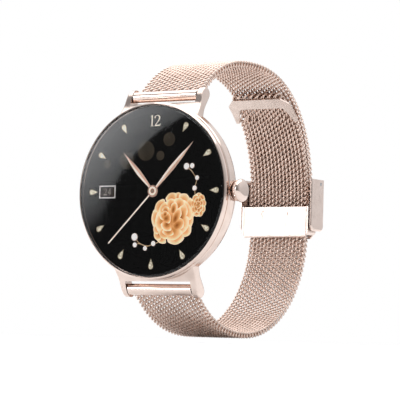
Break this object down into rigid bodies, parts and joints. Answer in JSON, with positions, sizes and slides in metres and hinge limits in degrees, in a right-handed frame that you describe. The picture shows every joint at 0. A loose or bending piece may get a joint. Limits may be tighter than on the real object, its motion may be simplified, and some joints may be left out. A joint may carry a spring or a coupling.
{
  "type": "smartwatch",
  "caption": "Round smartwatch with a turning crown and a woven metal mesh band closed by a sliding fold-over clasp.",
  "frame": {"origin": "middle of the sensor window's flat outer face, where the watch sits on the wrist", "axes": "the dial faces -Y, the crown points along +X (3 o'clock), and +Z is 12 o'clock"},
  "size_m": [0.0434, 0.0619, 0.066],
  "materials": {
    "rose_gold_polished": "polished rose-gold plating",
    "rose_gold_mesh": "woven rose-gold wire",
    "rose_gold_satin": "satin rose-gold plating",
    "cover_glass": "clear, polished",
    "display": "black, lit",
    "black_plastic": "moulded",
    "rubber": "soft",
    "circuit_board": "solder mask",
    "chip": "moulded",
    "foil": "foil",
    "flex": "amber film",
    "steel": "bright",
    "gold_contact": "plated",
    "sensor_glass": "dark window",
    "led": "clear"
  },
  "bodies": {
    "case": {"case_body": "rose_gold_polished", "bezel_ring": "rose_gold_polished", "cover_glass": "cover_glass", "glass_gasket": "rubber", "display_panel": "display", "inner_frame": "black_plastic", "battery": "foil", "main_board": "circuit_board", "board_chips": "chip", "display_flex": "flex", "vibration_motor": "steel", "back_cover": "rose_gold_satin", "back_seal": "rubber", "back_screws": "steel", "charging_contacts": "gold_contact", "charging_magnets": "steel", "sensor_window": "sensor_glass", "sensor_board": "circuit_board", "sensor_leds": "led", "crown_tube": "rose_gold_polished", "encoder_bracket": "steel", "crown_switch": "black_plastic"},
    "encoder": {"encoder_wheel": "black_plastic"},
    "crown": {"crown": "rose_gold_polished", "crown_o_rings": "rubber"},
    "plunger": {"switch_plunger": "steel"},
    "top_band_front": {"top_end_tube": "rose_gold_polished", "top_bar_barrel": "steel", "top_bar_spring": "steel", "top_mesh_front": "rose_gold_mesh"},
    "top_band_back": {"top_mesh_back": "rose_gold_mesh", "top_end_piece": "rose_gold_satin", "cover_pins": "steel"},
    "cover": {"clasp_cover": "rose_gold_polished"},
    "bottom_band_front": {"bottom_end_tube": "rose_gold_polished", "bottom_bar_barrel": "steel", "bottom_bar_spring": "steel", "bottom_mesh_front": "rose_gold_mesh"},
    "bottom_band_tail": {"bottom_mesh_tail": "rose_gold_mesh", "tail_end_plate": "rose_gold_satin"},
    "box": {"clasp_box": "rose_gold_satin", "lock_pin": "steel"},
    "lock": {"lock_plate": "rose_gold_satin"},
    "top_pin_left": {"top_bar_pin_left": "steel"},
    "top_pin_right": {"top_bar_pin_right": "steel"},
    "bottom_pin_left": {"bottom_bar_pin_left": "steel"},
    "bottom_pin_right": {"bottom_bar_pin_right": "steel"}
  },
  "joints": [
    {"name": "crown_turn", "type": "hinge", "parent": "case", "child": "encoder", "pos_m": [0.0152, -0.0062, 0], "axis": [1, 0, 0], "continuous": true},
    {"name": "crown_push", "type": "slide", "parent": "encoder", "child": "crown", "axis": [-1, 0, 0], "range_m": [0, 0.0003], "stiffness_N_per_m": 1500, "springref_m": -0.0006},
    {"name": "switch_push", "type": "slide", "parent": "case", "child": "plunger", "axis": [-1, 0, 0], "range_m": [0, 0.0003]},
    {"name": "top_band_swing", "type": "hinge", "parent": "case", "child": "top_band_front", "pos_m": [0, -0.0044, 0.0223], "axis": [1, 0, 0], "range_deg": [0, 60]},
    {"name": "top_band_bend", "type": "hinge", "parent": "top_band_front", "child": "top_band_back", "pos_m": [0, 0.02, 0.0322], "axis": [1, 0, 0], "range_deg": [0, 35]},
    {"name": "cover_open", "type": "hinge", "parent": "top_band_back", "child": "cover", "pos_m": [0, 0.0497, 0.0059], "axis": [1, 0, 0], "range_deg": [0, 100]},
    {"name": "bottom_band_swing", "type": "hinge", "parent": "case", "child": "bottom_band_front", "pos_m": [0, -0.0044, -0.0223], "axis": [1, 0, 0], "range_deg": [-60, 0]},
    {"name": "bottom_band_bend", "type": "hinge", "parent": "bottom_band_front", "child": "bottom_band_tail", "pos_m": [0, 0.02, -0.0322], "axis": [1, 0, 0], "range_deg": [0, 20]},
    {"name": "clasp_adjust", "type": "slide", "parent": "bottom_band_tail", "child": "box", "axis": [0, 0, -1], "range_m": [0, 0.002]},
    {"name": "lock_open", "type": "hinge", "parent": "box", "child": "lock", "pos_m": [0, 0.0457, -0.0071], "axis": [1, 0, 0], "range_deg": [0, 70]},
    {"name": "top_pin_left_in", "type": "slide", "parent": "top_band_front", "child": "top_pin_left", "axis": [1, 0, 0], "range_m": [0, 0.001], "stiffness_N_per_m": 400, "springref_m": -0.002, "deforming": ["top_bar_spring"]},
    {"name": "top_pin_right_in", "type": "slide", "parent": "top_band_front", "child": "top_pin_right", "axis": [-1, 0, 0], "range_m": [0, 0.001], "stiffness_N_per_m": 400, "springref_m": -0.002, "deforming": ["top_bar_spring"]},
    {"name": "bottom_pin_left_in", "type": "slide", "parent": "bottom_band_front", "child": "bottom_pin_left", "axis": [1, 0, 0], "range_m": [0, 0.001], "stiffness_N_per_m": 400, "springref_m": -0.002, "deforming": ["bottom_bar_spring"]},
    {"name": "bottom_pin_right_in", "type": "slide", "parent": "bottom_band_front", "child": "bottom_pin_right", "axis": [-1, 0, 0], "range_m": [0, 0.001], "stiffness_N_per_m": 400, "springref_m": -0.002, "deforming": ["bottom_bar_spring"]}
  ],
  "couplings": [
    {"joint": "switch_push", "follows": "crown_push", "ratio": 1},
    {"joint": "bottom_band_swing", "follows": "top_band_swing", "ratio": -1}
  ]
}
